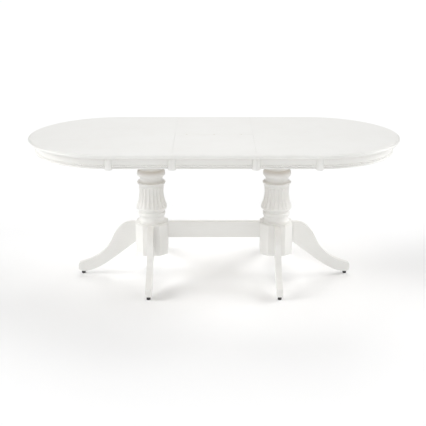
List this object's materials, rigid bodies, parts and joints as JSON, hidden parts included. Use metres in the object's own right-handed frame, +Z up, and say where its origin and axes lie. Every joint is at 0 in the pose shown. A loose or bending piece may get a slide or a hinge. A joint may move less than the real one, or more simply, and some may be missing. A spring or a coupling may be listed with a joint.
{
  "type": "extendable dining table",
  "caption": "Oval double-pedestal dining table with a bead-trimmed apron, S-curved legs, a low stretcher and a folding centre leaf between two sliding halves.",
  "frame": {"origin": "on the floor, under the centre of the tabletop, with the leaf in", "axes": "+X along the table, +Y across it towards the back, +Z up"},
  "size_m": [1.8998, 0.9, 0.76],
  "materials": {
    "ivory_lacquer": "satin ivory lacquer on hardwood",
    "beech": "bare planed beech",
    "zinc_steel": "zinc plated",
    "brass": "satin brass",
    "black_plastic": "black moulded"
  },
  "bodies": {
    "base": {"column_left": "ivory_lacquer", "column_right": "ivory_lacquer", "block_left": "ivory_lacquer", "block_right": "ivory_lacquer", "leg_left_outer": "ivory_lacquer", "leg_left_front": "ivory_lacquer", "leg_left_back": "ivory_lacquer", "leg_right_outer": "ivory_lacquer", "leg_right_front": "ivory_lacquer", "leg_right_back": "ivory_lacquer", "stretcher": "ivory_lacquer", "floor_glides": "black_plastic", "top_plate_left": "beech", "top_plate_right": "beech", "bearer_left": "beech", "bearer_right": "beech", "rail_front": "beech", "rail_back": "beech", "tie_rods": "zinc_steel", "leg_bolts": "zinc_steel", "base_screws": "zinc_steel"},
    "top_half_left": {"tabletop_left": "ivory_lacquer", "end_apron_left": "ivory_lacquer", "front_apron_left": "ivory_lacquer", "back_apron_left": "ivory_lacquer", "bead_trim_left": "ivory_lacquer", "posts_left": "ivory_lacquer", "glue_blocks_left": "beech", "runner_left_front": "beech", "runner_left_back": "beech", "runner_screws_left": "zinc_steel", "tabletop_pins_left": "zinc_steel", "latch_pins_left": "zinc_steel"},
    "top_half_right": {"tabletop_right": "ivory_lacquer", "end_apron_right": "ivory_lacquer", "front_apron_right": "ivory_lacquer", "back_apron_right": "ivory_lacquer", "bead_trim_right": "ivory_lacquer", "posts_right": "ivory_lacquer", "glue_blocks_right": "beech", "runner_right_front": "beech", "runner_right_back": "beech", "runner_screws_right": "zinc_steel", "tabletop_pins_right": "zinc_steel", "latch_pins_right": "zinc_steel"},
    "leaf_links": {"leaf_hinge_links": "brass"},
    "leaf_half_front": {"leaf_front": "ivory_lacquer", "leaf_apron_front": "ivory_lacquer", "leaf_trim_front": "ivory_lacquer", "leaf_posts_front": "ivory_lacquer", "leaf_pins_front": "zinc_steel", "leaf_hinge_plates_front": "brass"},
    "leaf_half_back": {"leaf_back": "ivory_lacquer", "leaf_apron_back": "ivory_lacquer", "leaf_trim_back": "ivory_lacquer", "leaf_posts_back": "ivory_lacquer", "leaf_pins_back": "zinc_steel", "leaf_hinge_plates_back": "brass"},
    "latch_arm_left": {"latch_left": "zinc_steel"},
    "latch_arm_right": {"latch_right": "zinc_steel"}
  },
  "joints": [
    {"name": "top_left_slide", "type": "slide", "parent": "base", "child": "top_half_left", "axis": [1, 0, 0], "range_m": [0, 0.2]},
    {"name": "top_right_slide", "type": "slide", "parent": "base", "child": "top_half_right", "axis": [-1, 0, 0], "range_m": [0, 0.2]},
    {"name": "leaf_lift", "type": "slide", "parent": "base", "child": "leaf_links", "axis": [0, 0, 1], "range_m": [0, 0.28]},
    {"name": "leaf_front_fold", "type": "hinge", "parent": "leaf_links", "child": "leaf_half_front", "pos_m": [0, -0.0033, 0.757], "axis": [1, 0, 0], "range_deg": [-90, 0]},
    {"name": "leaf_back_fold", "type": "hinge", "parent": "leaf_links", "child": "leaf_half_back", "pos_m": [0, 0.0033, 0.757], "axis": [1, 0, 0], "range_deg": [0, 90]},
    {"name": "latch_left_swing", "type": "hinge", "parent": "top_half_left", "child": "latch_arm_left", "pos_m": [-0.26, -0.26, 0.7335], "axis": [0, 0, 1], "range_deg": [0, 60]},
    {"name": "latch_right_swing", "type": "hinge", "parent": "top_half_right", "child": "latch_arm_right", "pos_m": [0.26, 0.26, 0.7335], "axis": [0, 0, 1], "range_deg": [0, 60]}
  ],
  "couplings": [
    {"joint": "top_right_slide", "follows": "top_left_slide", "ratio": 1},
    {"joint": "leaf_lift", "follows": "top_left_slide", "ratio": 1.4},
    {"joint": "leaf_front_fold", "follows": "top_left_slide", "rad_per_m": -7.85},
    {"joint": "leaf_back_fold", "follows": "top_left_slide", "rad_per_m": 7.85}
  ]
}
